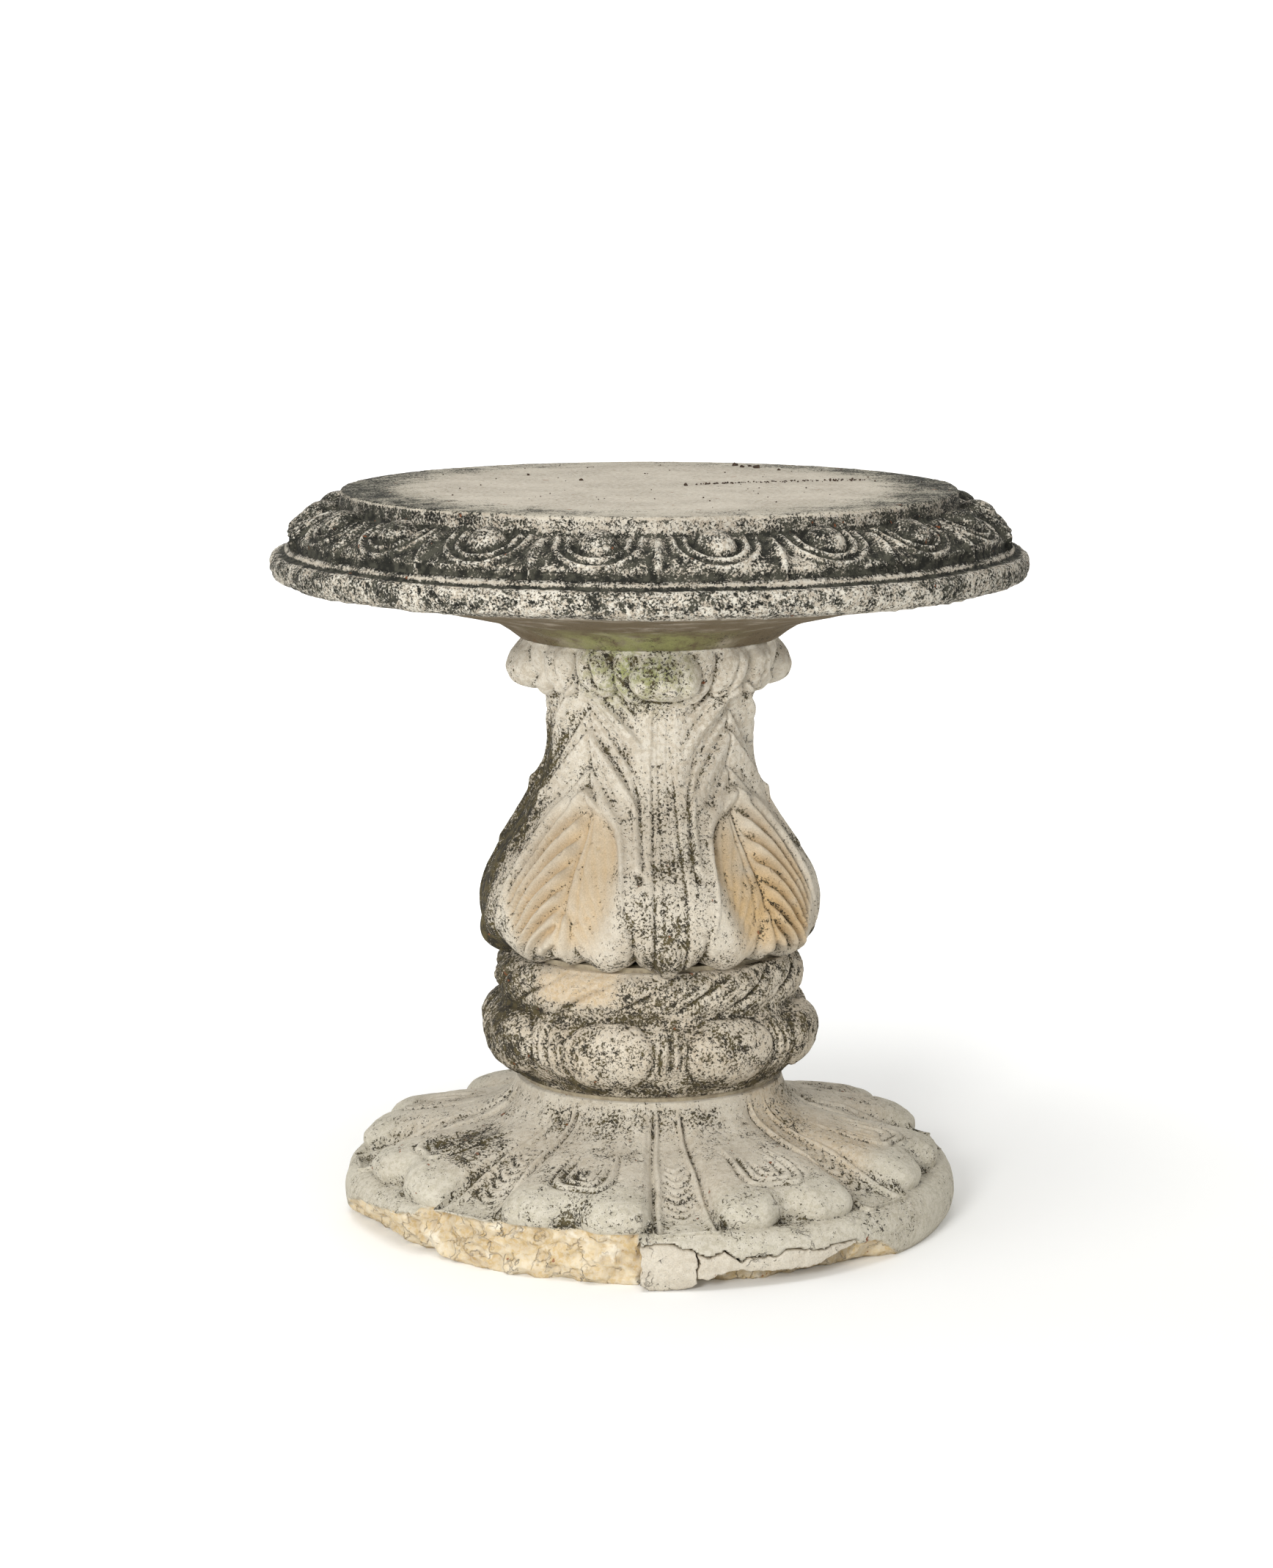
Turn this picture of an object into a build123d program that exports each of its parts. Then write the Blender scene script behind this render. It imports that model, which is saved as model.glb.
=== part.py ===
from build123d import *
import os
from math import cos, degrees, radians, sin

# Garden bird bath in cast stone: a petalled foot on a round plinth, a collar of two carved rings,
# an acanthus shaft and a broad flat-topped basin slab with an egg-and-dart edge.
# Origin on the floor, on the centre line. +Z is up, -Y is the front. Millimetres.
# Angles round the object count from the front, positive towards +X.

os.makedirs("parts", exist_ok=True)

# ---- driving dimensions ----------------------------------------------------------------
TOTAL_H = 600.0
LIP_R = 310.0            # widest point of the basin
TOP_R = 250.0            # flat top of the basin
STEP_H = 14.0            # plain fascia between the top and the egg-and-dart
BASIN_Z = 480.0          # seat of the basin on the shaft head
SEAT_R = 107.0
LIP_H = 22.0             # height of the rounded lip
LIP_Z = 522.0            # underside of the lip
GUTTER = 6.0             # undercut between the moulding and the lip

EGGS = 19
EGG_TURN = 3.5           # first egg, degrees from the front
EGG_HALF = (15.0, 18.0)  # radius across, half length down the slope
SHELL_R = 23.0
SHELL_WIRE = 3.0

PLINTH_R = 253.0
PLINTH_H = 42.0
PETALS = 8
PETAL_R = 236.0
PETAL_TIP_Z = 62.0
FOOT_Z = 114.0           # top bed of the foot
FOOT_NECK_R = 110.0

BED_H = 4.0              # mortar beds between the castings
COLLAR_Z = FOOT_Z + BED_H
COLLAR_TOP = 221.0
SHAFT_Z = COLLAR_TOP + BED_H

LEAVES = 4
BULB_R = 139.5
BULB_Z = 259.0
NECK_R = 81.6
NECK_Z = 408.0

BORE_R = 25.0            # grouted bore through the pedestal
ROD_R = 8.0
ROD_LOW = 12.0           # the rod stops short of the floor
SOCKET_Z = 410.0         # bottom of the dowel's socket
DOWEL_R = 13.45
DOWEL_H = 115.0
DOWEL_GAP = 0.3          # loose fit of the dowel all round
SLEEVE_WALL = 2.6
BASIN_SOCKET_H = 55.0

BAR_R = 4.0              # reinforcing steel
BASIN_HOOP_R = 258.0
BASIN_HOOP_Z = 550.0
BAR_SPACING = 140.0
FOOT_HOOP_R = 216.0
FOOT_HOOP_Z = 16.0

BREAK_FROM = -84.0       # plinth edge broken away between these angles
BREAK_TO = -9.2
CRACK = 0.4              # width of the cracks round the loose shards
SHARD_R = 232.0          # inner face of the shards


def around(angle):
    """Vertical plane through the axis whose X runs outwards at this angle from the front."""
    out = (sin(radians(angle)), -cos(radians(angle)), 0)
    side = (-out[1], out[0], 0)
    return Plane(origin=(0, 0, 0), x_dir=out, z_dir=(-side[0], -side[1], 0))


def spheroid(radius, half_length):
    """Egg-shaped lump, longest along Z."""
    with BuildPart() as lump:
        with BuildSketch(Plane.XZ):
            Ellipse(radius, half_length)
            Rectangle(radius, 2 * half_length, align=(Align.MAX, Align.CENTER), mode=Mode.SUBTRACT)
        revolve(axis=Axis.Z)
    return lump.part


def meridian_rope(points, radius, angle):
    """Round bar that follows a profile given as (radius, height) points at one angle."""
    with BuildPart() as rope:
        with BuildLine(around(angle)):
            path = Spline(*points)
        with BuildSketch(Plane(origin=path @ 0, z_dir=path % 0)):
            Circle(radius)
        sweep(path=path)
    return rope.part


def ring_sector(start, stop, outline):
    """Solid swept round the axis between two angles from a closed (radius, height) outline."""
    with BuildPart() as sector:
        with BuildSketch(around(start)):
            with BuildLine():
                Polyline(*outline, close=True)
            make_face()
        revolve(axis=Axis.Z, revolution_arc=stop - start)
    return sector.part


def tube(low, high, outer, inner):
    """Plain tube on the axis."""
    with BuildPart() as pipe:
        with BuildSketch(Plane.XY.offset(low)):
            Circle(outer)
            if inner:
                Circle(inner, mode=Mode.SUBTRACT)
        extrude(amount=high - low)
    return pipe.part


def lift(points, rise):
    return [(r, z + rise) for r, z in points]


# ---- reinforcing steel, cast into the stone --------------------------------------------
with BuildPart() as foot_hoop:
    with BuildSketch(Plane.XZ):
        with Locations((FOOT_HOOP_R, FOOT_HOOP_Z)):
            Circle(BAR_R)
    revolve(axis=Axis.Z)

with BuildPart() as basin_hoop:
    with BuildSketch(Plane.XZ):
        with Locations((BASIN_HOOP_R, BASIN_HOOP_Z)):
            Circle(BAR_R)
    revolve(axis=Axis.Z)

# Two pairs of bars cross under the middle of the top, one layer over the other.
bar_length = 2 * (BASIN_HOOP_R**2 - (BAR_SPACING / 2) ** 2) ** 0.5 - 6 * BAR_R
layer = BAR_R + 0.2
with BuildPart() as basin_bars:
    with BuildSketch(Plane.YZ.offset(-bar_length / 2)):
        with Locations((-BAR_SPACING / 2, BASIN_HOOP_Z - layer), (BAR_SPACING / 2, BASIN_HOOP_Z - layer)):
            Circle(BAR_R)
    extrude(amount=bar_length)
    with BuildSketch(Plane.XZ.offset(-bar_length / 2)):
        with Locations((-BAR_SPACING / 2, BASIN_HOOP_Z + layer), (BAR_SPACING / 2, BASIN_HOOP_Z + layer)):
            Circle(BAR_R)
    extrude(amount=bar_length)

# ---- core of the pedestal --------------------------------------------------------------
rod_top = SOCKET_Z - 20
with BuildPart() as core_rod:
    with BuildSketch(Plane.XY.offset(ROD_LOW)):
        Circle(ROD_R)
    extrude(amount=rod_top - ROD_LOW)

# Grout fills the bore round the rod and closes it at both ends.
with BuildPart() as core_grout:
    with BuildSketch(Plane.XY.offset(ROD_LOW / 2)):
        Circle(BORE_R)
    extrude(amount=SOCKET_Z - ROD_LOW / 2)
    with BuildSketch(Plane.XY.offset(ROD_LOW)):
        Circle(ROD_R)
    extrude(amount=rod_top - ROD_LOW, mode=Mode.SUBTRACT)

socket_bore = DOWEL_R + DOWEL_GAP
sleeve_r = socket_bore + SLEEVE_WALL
grout_top = SOCKET_Z + ROD_LOW / 2

with BuildPart() as dowel_socket:
    with BuildSketch(Plane.XY.offset(grout_top)):
        Circle(sleeve_r)
        Circle(socket_bore, mode=Mode.SUBTRACT)
    extrude(amount=BASIN_Z - grout_top)

with BuildPart() as locating_dowel:
    with BuildSketch(Plane.XY.offset(grout_top)):
        Circle(DOWEL_R)
        Circle(DOWEL_R - SLEEVE_WALL, mode=Mode.SUBTRACT)
    extrude(amount=DOWEL_H - ROD_LOW / 2)

with BuildPart() as basin_socket:
    with BuildSketch(Plane.XY.offset(BASIN_Z)):
        Circle(sleeve_r)
        Circle(socket_bore, mode=Mode.SUBTRACT)
    extrude(amount=BASIN_SOCKET_H)

# ---- foot ------------------------------------------------------------------------------
flare = [
    (FOOT_NECK_R, FOOT_Z),
    (FOOT_NECK_R + 9, FOOT_Z - 17),
    (FOOT_NECK_R + 36, FOOT_Z - 32),
    (FOOT_NECK_R + 76, FOOT_Z - 43),
    (PETAL_R, PETAL_TIP_Z),
]
petal_step = 360 / PETALS
petal_half = 0.40 * petal_step
channel_end_r = PETAL_R - 8

# Concave flare of the petals, trimmed to their lobed outline.
with BuildPart() as petal_flare:
    with BuildSketch(Plane.XZ):
        with BuildLine():
            Spline(*flare)
            Polyline(flare[-1], (PETAL_R, PLINTH_H), (0, PLINTH_H), (0, FOOT_Z), flare[0])
        make_face()
    revolve(axis=Axis.Z)


def rim(angle, radius):
    return (radius * sin(radians(angle)), -radius * cos(radians(angle)))


groove = meridian_rope(lift(flare[1:-1] + [(PETAL_R + 6, PETAL_TIP_Z - 1)], 4), 8, 0)
fillet_profile = lift(flare[1:-1] + [(PETAL_R - 12, PETAL_TIP_Z + 2)], -1)
fillet_bars = [meridian_rope(fillet_profile, 3.6, lean) for lean in (-5.5, 5.5)]
bite_outline = [
    (PLINTH_R - 24, -1),
    (PLINTH_R - 18, 18),
    (PLINTH_R - 26, PLINTH_H),
    (PLINTH_R + 20, PLINTH_H),
    (PLINTH_R + 20, -1),
]
bite = ring_sector(BREAK_FROM, BREAK_TO, bite_outline)

with BuildPart() as foot:
    with BuildSketch(Plane.XY.offset(PLINTH_H)):
        with BuildLine():
            for n in range(PETALS):
                middle = petal_step * (n + 0.5)
                start = rim(middle - petal_half, channel_end_r - 6)
                stop = rim(middle + petal_half, channel_end_r - 6)
                following = rim(middle + petal_step - petal_half, channel_end_r - 6)
                ThreePointArc(start, rim(middle, PETAL_R), stop)
                ThreePointArc(stop, rim(middle + petal_step / 2, channel_end_r), following)
        make_face()
    extrude(amount=FOOT_Z - PLINTH_H)
    add(petal_flare.part, mode=Mode.INTERSECT)
    with BuildSketch(Plane.XZ):
        with BuildLine():
            Polyline((0, 0), (PLINTH_R - 8, 0), (PLINTH_R - 2, 8))
            ThreePointArc((PLINTH_R - 2, 8), (PLINTH_R, 19), (PLINTH_R - 12, PLINTH_H))
            Polyline((PLINTH_R - 12, PLINTH_H), (0, PLINTH_H), (0, 0))
        make_face()
    revolve(axis=Axis.Z)
    # Channels between the petals, each between two raised fillets.
    with PolarLocations(0, PETALS):
        add(groove, mode=Mode.SUBTRACT)
    for fillet_bar in fillet_bars:
        with PolarLocations(0, PETALS):
            add(fillet_bar)
    with BuildSketch(Plane.XY.offset(FOOT_Z)):
        Circle(PETAL_R)
    extrude(amount=20, mode=Mode.SUBTRACT)
    # Broken front-left edge of the plinth.
    add(bite, mode=Mode.SUBTRACT)
    # Bore for the core and seat for the hoop.
    with BuildSketch(Plane.XY):
        Circle(BORE_R)
    extrude(amount=FOOT_Z, mode=Mode.SUBTRACT)
    add(foot_hoop.part, mode=Mode.SUBTRACT)

# Two shards of the plinth edge that have cracked off and still sit in place.
shards = {
    "plinth_shard_front": (-8.6, 1.2, 0.0, 36.0),
    "plinth_shard_side": (1.6, 33.0, 8.0, 27.0),
}
crack_angle = degrees(CRACK / PLINTH_R)
outside = PLINTH_R + 9
for shard_name, (start, stop, low, high) in shards.items():
    outline = [(SHARD_R, low), (SHARD_R, high - 6), (outside, high), (outside, low)]
    block = ring_sector(start, stop, outline)
    room = [(SHARD_R - CRACK, -1), (SHARD_R - CRACK, high - 6 + CRACK), (outside, high + CRACK), (outside, -1)]
    pocket = ring_sector(start - crack_angle, stop + crack_angle, room)
    with BuildPart() as shard:
        add(foot.part)
        add(block, mode=Mode.INTERSECT)
    shard.part.label = shard_name
    export_step(shard.part, f"parts/{shard_name}.step")
    with BuildPart() as trimmed:
        add(foot.part)
        add(pocket, mode=Mode.SUBTRACT)
    foot = trimmed

# ---- collar ----------------------------------------------------------------------------
gadroon = Location((0, -121, 156), (0, 90, 0)) * spheroid(19, 38)
strand = Location((0, -113, 201), (0, 62, 0)) * spheroid(14, 42)

with BuildPart() as collar:
    with BuildSketch(Plane.XZ):
        with BuildLine():
            Polyline((BORE_R, COLLAR_Z), (FOOT_NECK_R - 1, COLLAR_Z))
            Spline((FOOT_NECK_R - 1, COLLAR_Z), (127, 137), (134, 156), (127, 175), (119, 182))
            Spline((119, 182), (121, 191), (122, 201), (120, 212), (114, COLLAR_TOP))
            Polyline((114, COLLAR_TOP), (BORE_R, COLLAR_TOP), (BORE_R, COLLAR_Z))
        make_face()
    revolve(axis=Axis.Z)
    # Eight gadroons low down, and a twist of sixteen leaning strands over them.
    with PolarLocations(0, PETALS, start_angle=petal_step / 2):
        add(gadroon)
    with PolarLocations(0, PETALS, start_angle=petal_step / 4):
        add(strand)
    with BuildSketch(Plane.XY.offset(COLLAR_TOP)):
        Circle(200)
    extrude(amount=60, mode=Mode.SUBTRACT)

# ---- shaft -----------------------------------------------------------------------------
side = [
    (116, SHAFT_Z),
    (134, SHAFT_Z + 14),
    (BULB_R - 1, BULB_Z),
    (116, 317),
    (86, 374),
    (NECK_R, NECK_Z),
    (88, 442),
    (SEAT_R - 3, BASIN_Z),
]
hollow = Location((0, -150, BULB_Z + 36), (-24, 0, 0)) * spheroid(33, 58)
channel = meridian_rope([(r + 8, z) for r, z in side[1:-1]], 12, 0)
scroll = Location((0, -95, 459), (0, 90, 0)) * spheroid(18, 27)
leaf_tip = Location((0, -92, 460), (-12, 0, 0)) * spheroid(14, 18)

with BuildPart() as shaft:
    with BuildSketch(Plane.XZ):
        with BuildLine():
            Spline(*side)
            Polyline(side[-1], (sleeve_r, BASIN_Z), (sleeve_r, grout_top), (BORE_R, grout_top))
            Polyline((BORE_R, grout_top), (BORE_R, SHAFT_Z), side[0])
        make_face()
    revolve(axis=Axis.Z)
    # Fluted hollows of the big leaves, and the plain channels between them.
    with PolarLocations(0, LEAVES, start_angle=45):
        add(hollow, mode=Mode.SUBTRACT)
    with PolarLocations(0, LEAVES):
        add(channel, mode=Mode.SUBTRACT)
    # Scrolls under the basin.
    with PolarLocations(0, LEAVES):
        add(scroll)
    with PolarLocations(0, LEAVES, start_angle=45):
        add(leaf_tip)
    with BuildSketch(Plane.XY.offset(grout_top)):
        Circle(sleeve_r)
    extrude(amount=BASIN_Z - grout_top, mode=Mode.SUBTRACT)

# ---- mortar beds -----------------------------------------------------------------------
with BuildPart() as foot_bed:
    with BuildSketch(Plane.XY.offset(FOOT_Z)):
        Circle(FOOT_NECK_R - 4)
        Circle(BORE_R, mode=Mode.SUBTRACT)
    extrude(amount=BED_H)

with BuildPart() as collar_bed:
    with BuildSketch(Plane.XY.offset(COLLAR_TOP)):
        Circle(110)
        Circle(BORE_R, mode=Mode.SUBTRACT)
    extrude(amount=BED_H)

# ---- basin -----------------------------------------------------------------------------
moulding_top = TOTAL_H - STEP_H
moulding_low = LIP_Z + LIP_H + 3
slope = 48.0             # middle of the ovolo, degrees from the horizontal
ovolo_mid = (283.0, 571.0)
egg = Location((0, -279, 569), (-slope, 0, 0)) * spheroid(EGG_HALF[0], EGG_HALF[1])
shell = Location((0, -280, 567), (90 - slope, 0, 0)) * Torus(SHELL_R, SHELL_WIRE)
dart = Location((0, -276, 564), (-slope, 0, 0)) * spheroid(7, 25)

with BuildPart() as basin:
    with BuildSketch(Plane.XZ):
        with BuildLine():
            Polyline((0, BASIN_Z), (SEAT_R, BASIN_Z))
            Spline((SEAT_R, BASIN_Z), (128, 494), (167, 503), (217, 512), (LIP_R - 16, LIP_Z))
            ThreePointArc((LIP_R - 16, LIP_Z), (LIP_R, LIP_Z + 14), (LIP_R - 5, LIP_Z + LIP_H))
            Polyline((LIP_R - 5, LIP_Z + LIP_H), (LIP_R - 8 - GUTTER, LIP_Z + LIP_H), (LIP_R - 10, moulding_low))
            ThreePointArc((LIP_R - 10, moulding_low), ovolo_mid, (TOP_R + 6, moulding_top - 1))
            Polyline((TOP_R + 6, moulding_top - 1), (TOP_R, moulding_top), (TOP_R, TOTAL_H - 2))
            Polyline((TOP_R, TOTAL_H - 2), (TOP_R - 2, TOTAL_H), (0, TOTAL_H), (0, BASIN_Z))
        make_face()
    revolve(axis=Axis.Z)
    with BuildSketch(Plane.XY.offset(BASIN_Z)):
        Circle(sleeve_r)
    extrude(amount=BASIN_SOCKET_H, mode=Mode.SUBTRACT)
    # Egg in a shell, with a dart between each pair.
    with PolarLocations(0, EGGS, start_angle=EGG_TURN):
        add(egg)
    with PolarLocations(0, EGGS, start_angle=EGG_TURN):
        add(shell)
    with PolarLocations(0, EGGS, start_angle=EGG_TURN + 180 / EGGS):
        add(dart)
    add(basin_hoop.part, mode=Mode.SUBTRACT)
    add(basin_bars.part, mode=Mode.SUBTRACT)

pieces = {
    "foot": foot,
    "foot_hoop": foot_hoop,
    "foot_bed": foot_bed,
    "collar": collar,
    "collar_bed": collar_bed,
    "shaft": shaft,
    "core_rod": core_rod,
    "core_grout": core_grout,
    "dowel_socket": dowel_socket,
    "locating_dowel": locating_dowel,
    "basin": basin,
    "basin_socket": basin_socket,
    "basin_hoop": basin_hoop,
    "basin_bars": basin_bars,
}
for name, piece in pieces.items():
    piece.part.label = name
    export_step(piece.part, f"parts/{name}.step")
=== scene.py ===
import math

import bmesh
import bpy
import numpy as np
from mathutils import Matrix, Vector, noise


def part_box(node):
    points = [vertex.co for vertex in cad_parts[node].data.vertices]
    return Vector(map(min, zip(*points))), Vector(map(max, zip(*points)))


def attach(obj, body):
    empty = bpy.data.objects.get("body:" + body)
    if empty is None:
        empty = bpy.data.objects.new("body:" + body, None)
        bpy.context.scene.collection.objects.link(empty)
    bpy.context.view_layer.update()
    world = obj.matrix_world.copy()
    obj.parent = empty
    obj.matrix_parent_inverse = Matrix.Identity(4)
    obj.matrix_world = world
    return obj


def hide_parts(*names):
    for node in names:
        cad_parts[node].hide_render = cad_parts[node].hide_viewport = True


# A weathered cast-stone bird bath. Every casting is one bay of carving, drawn as a relief over a
# turned profile, and repeated round the axis by Geometry Nodes, which also wear the stone.
# Lengths are in millimetres until a mesh is made. Angles count from the front, positive to +X.

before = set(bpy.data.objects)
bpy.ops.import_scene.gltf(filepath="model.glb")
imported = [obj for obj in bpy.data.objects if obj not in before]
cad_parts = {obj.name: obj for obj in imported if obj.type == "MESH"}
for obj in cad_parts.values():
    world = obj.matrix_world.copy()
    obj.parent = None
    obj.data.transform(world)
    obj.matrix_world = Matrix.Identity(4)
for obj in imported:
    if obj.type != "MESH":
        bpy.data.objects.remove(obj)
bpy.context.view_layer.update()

MM = 0.001


def cad_range(node, datum=0.0):
    """Outer radius, lowest and highest level of a CAD node, in millimetres."""
    low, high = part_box(node)
    return max(high.x, -low.x) / MM, low.z / MM - datum, high.z / MM - datum


# Heights in the tables for the collar, shaft and basin count from this level.
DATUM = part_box("collar")[0].z / MM - 108

LIP_R, SEAT_Z, TOP_Z = cad_range("basin", DATUM)
PLINTH_R, _, FOOT_TOP = cad_range("foot")
_, COLLAR_Z, COLLAR_TOP = cad_range("collar", DATUM)
_, SHAFT_Z, SHAFT_TOP = cad_range("shaft", DATUM)
BORE_R = cad_range("core_grout")[0]
GROUT_TOP = cad_range("core_grout", DATUM)[2]
SLEEVE_R = cad_range("dowel_socket")[0]
BASIN_SOCKET_TOP = cad_range("basin_socket", DATUM)[2]

EGGS = 19
EGG_TURN = 3.5           # degrees from the front to the middle of the first egg
PETALS = 8
LEAVES = 4
TOP_R = 250.0            # flat top, inside the step
STEP_H = 14.0
GUTTER_Z = 540.0         # between the moulding and the lip
MOULDING_R = 283.0       # where the eggs are laid out round the moulding
MOULDING_RUN = 62.0      # length of the moulding's profile
RING_R = 128.0           # where the gadroons are laid out round the collar
PLINTH_H = 42.0
PETAL_R = 236.0
NECK_R = 110.0           # foot, under the collar
SEAM = -8.8              # angle of the mould joint from the front


# ---- small tools for relief ----


def smooth(x, low, high):
    """0 below low, 1 above high, eased between them."""
    t = np.clip((x - low) / (high - low), 0, 1)
    return t * t * (3 - 2 * t)


def band(x, start, full, fade, end):
    """1 between full and fade, eased down to 0 at start and end."""
    return smooth(x, start, full) * (1 - smooth(x, fade, end))


def bump(x, middle, half):
    """Rounded ridge of height 1, half wide each side of its middle."""
    return 0.5 + 0.5 * np.cos(np.pi * np.clip((x - middle) / half, -1, 1))


def dome(q):
    """Round swelling of height 1 where q is 0, down to 0 where q is 1."""
    return np.sqrt(np.clip(1 - q, 0, 1))


def fold(x, pitch, drop=0.2):
    """Overlapping leaf edges: rises slowly over each pitch, then falls in the last part of it."""
    t = np.mod(x / pitch, 1.0)
    return smooth(t, 0.0, 1.0 - 1.4 * drop) - smooth(t, 1.0 - drop, 1.0)


def run(points, rows):
    """Smooth curve through (radius, height) points, as that many evenly spaced rows."""
    p = np.array([points[0]] + list(points) + [points[-1]], float)
    p[0] = 2 * p[1] - p[2]
    p[-1] = 2 * p[-2] - p[-3]
    fine = []
    for i in range(1, len(p) - 2):
        t = np.linspace(0, 1, 24, endpoint=False)[:, None]
        a, b, c, d = p[i - 1], p[i], p[i + 1], p[i + 2]
        square, cube = 2 * a - 5 * b + 4 * c - d, 3 * b - a - 3 * c + d
        fine.append(0.5 * (2 * b + (c - a) * t + square * t**2 + cube * t**3))
    fine = np.vstack(fine + [p[-2][None]])
    length = np.concatenate([[0], np.cumsum(np.hypot(*np.diff(fine, axis=0).T))])
    at = np.linspace(0, length[-1], rows)
    return np.column_stack([np.interp(at, length, fine[:, 0]), np.interp(at, length, fine[:, 1])])


def joined(runs):
    """Profile from runs laid end to end, each given by its points and its number of rows.

    With it come each row's run number and place in its run from 0 to 1."""
    rows, part, place = [], [], []
    for number, (points, count) in enumerate(runs):
        piece = run(points, count)[number > 0:]
        share = np.linspace(0, 1, len(piece) + (number > 0))[-len(piece):]
        rows.append(piece)
        part += [number] * len(piece)
        place += list(share)
    return np.vstack(rows), np.array(part), np.array(place)


def outward(rows):
    """Unit normals of a profile that is walked from the top down round the outside."""
    along = np.gradient(rows, axis=0)
    normal = np.column_stack([-along[:, 1], along[:, 0]])
    return normal / np.maximum(np.hypot(*normal.T), 1e-9)[:, None]


# ---- nodes ----


def add(tree, kind, links=None, **settings):
    """One node with its settings, and its inputs linked or set. Inputs go by name or number."""
    made = tree.nodes.new(kind)
    for name, value in settings.items():
        setattr(made, name, value)
    for socket, value in (links or {}).items():
        if isinstance(value, bpy.types.NodeSocket):
            tree.links.new(value, made.inputs[socket])
        else:
            made.inputs[socket].default_value = value
    return made


def casting_tree():
    """Geometry Nodes: copies one bay round the axis, joins the copies and wears the surface."""
    tree = bpy.data.node_groups.new("bays round the axis", "GeometryNodeTree")
    face = tree.interface
    face.new_socket("Bay", in_out="INPUT", socket_type="NodeSocketGeometry")
    for name, kind, value in (
        ("Bays", "Int", 8),
        ("Turn", "Float", 0.0),
        ("Join distance", "Float", 0.0001),
        ("Wander", "Float", 0.001),
        ("Wear depth", "Float", 0.0005),
        ("Wear size", "Float", 0.008),
        ("Pit depth", "Float", 0.001),
        ("Pit size", "Float", 0.005),
        ("Seed", "Float", 1.0),
        ("Stone", "Material", None),
    ):
        made = face.new_socket(name, in_out="INPUT", socket_type="NodeSocket" + kind)
        if value is not None:
            made.default_value = value
    face.new_socket("Casting", in_out="OUTPUT", socket_type="NodeSocketGeometry")
    given = tree.nodes.new("NodeGroupInput").outputs

    def calc(operation, *terms):
        return add(tree, "ShaderNodeMath", dict(enumerate(terms)), operation=operation).outputs[0]

    def scaled(direction, amount):
        return add(tree, "ShaderNodeVectorMath", {0: direction, "Scale": amount}, operation="SCALE").outputs[0]

    # One point for each bay, turned by its own share of the circle.
    points = add(tree, "GeometryNodeMeshLine", {"Count": given["Bays"], "Offset": (0, 0, 0)})
    share = calc("DIVIDE", add(tree, "GeometryNodeInputIndex").outputs[0], given["Bays"])
    turn = add(tree, "ShaderNodeCombineXYZ", {"Z": calc("MULTIPLY_ADD", share, math.tau, given["Turn"])})
    copies = add(tree, "GeometryNodeInstanceOnPoints",
                 {"Points": points.outputs[0], "Instance": given["Bay"], "Rotation": turn.outputs[0]})
    real = add(tree, "GeometryNodeRealizeInstances", {"Geometry": copies.outputs[0]})
    whole = add(tree, "GeometryNodeMergeByDistance",
                {"Geometry": real.outputs[0], "Distance": given["Join distance"]})

    # Hand-cut wander, broad wear and small pits, all held back where the mask says so.
    mask = add(tree, "GeometryNodeInputNamedAttribute", {"Name": "wear"}, data_type="FLOAT").outputs[0]
    place = add(tree, "GeometryNodeInputPosition").outputs[0]
    normal = add(tree, "GeometryNodeInputNormal").outputs[0]

    def noise(size, detail, offset):
        links = {"Vector": place, "W": calc("ADD", given["Seed"], offset), "Scale": calc("DIVIDE", 1.0, size),
                 "Detail": detail, "Roughness": 0.6}
        return add(tree, "ShaderNodeTexNoise", links, noise_dimensions="4D").outputs

    drift = add(tree, "ShaderNodeVectorMath", {0: noise(0.07, 1.0, 11.0)["Color"], 1: (0.5, 0.5, 0.5)},
                operation="SUBTRACT").outputs[0]
    drift = scaled(drift, calc("MULTIPLY", given["Wander"], mask))
    wear = calc("MULTIPLY", calc("SUBTRACT", noise(given["Wear size"], 3.0, 23.0)[0], 0.5), given["Wear depth"])
    pits = add(tree, "ShaderNodeMapRange", {"Value": noise(given["Pit size"], 2.0, 37.0)[0],
                                            "From Min": 0.60, "From Max": 0.72}, interpolation_type="SMOOTHSTEP")
    pits = calc("MULTIPLY", pits.outputs[0], given["Pit depth"])
    push = scaled(normal, calc("MULTIPLY", calc("SUBTRACT", wear, pits), mask))
    move = add(tree, "ShaderNodeVectorMath", {0: push, 1: drift}, operation="ADD")
    worn = add(tree, "GeometryNodeSetPosition", {"Geometry": whole.outputs[0], "Offset": move.outputs[0]})
    shaded = add(tree, "GeometryNodeSetMaterial", {"Geometry": worn.outputs[0], "Material": given["Stone"]})
    out = tree.nodes.new("NodeGroupOutput")
    tree.links.new(shaded.outputs[0], out.inputs[0])
    return tree


def set_inputs(modifier, values):
    """Sets a Geometry Nodes modifier's inputs by the names on its tree."""
    items = modifier.node_group.interface.items_tree
    sockets = {item.name: item.identifier for item in items if item.item_type == "SOCKET"}
    for name, value in values.items():
        modifier[sockets[name]] = value


def baked(source, name):
    """Plain mesh object from a source object's modifiers. The source is deleted."""
    graph = bpy.context.evaluated_depsgraph_get()
    mesh = bpy.data.meshes.new_from_object(source.evaluated_get(graph))
    mesh.name = name
    made = bpy.data.objects.new(name, mesh)
    bpy.context.scene.collection.objects.link(made)
    bpy.data.objects.remove(source)
    return made


def mesh_object(name, points, faces, layers=None):
    """Mesh from points in millimetres, with any number of named per-point values."""
    mesh = bpy.data.meshes.new(name)
    mesh.from_pydata((np.asarray(points) * MM).tolist(), [], faces)
    for layer, values in (layers or {}).items():
        mesh.attributes.new(layer, "FLOAT", "POINT").data.foreach_set("value", np.asarray(values, np.float32))
    made = bpy.data.objects.new(name, mesh)
    bpy.context.scene.collection.objects.link(made)
    return made


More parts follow.
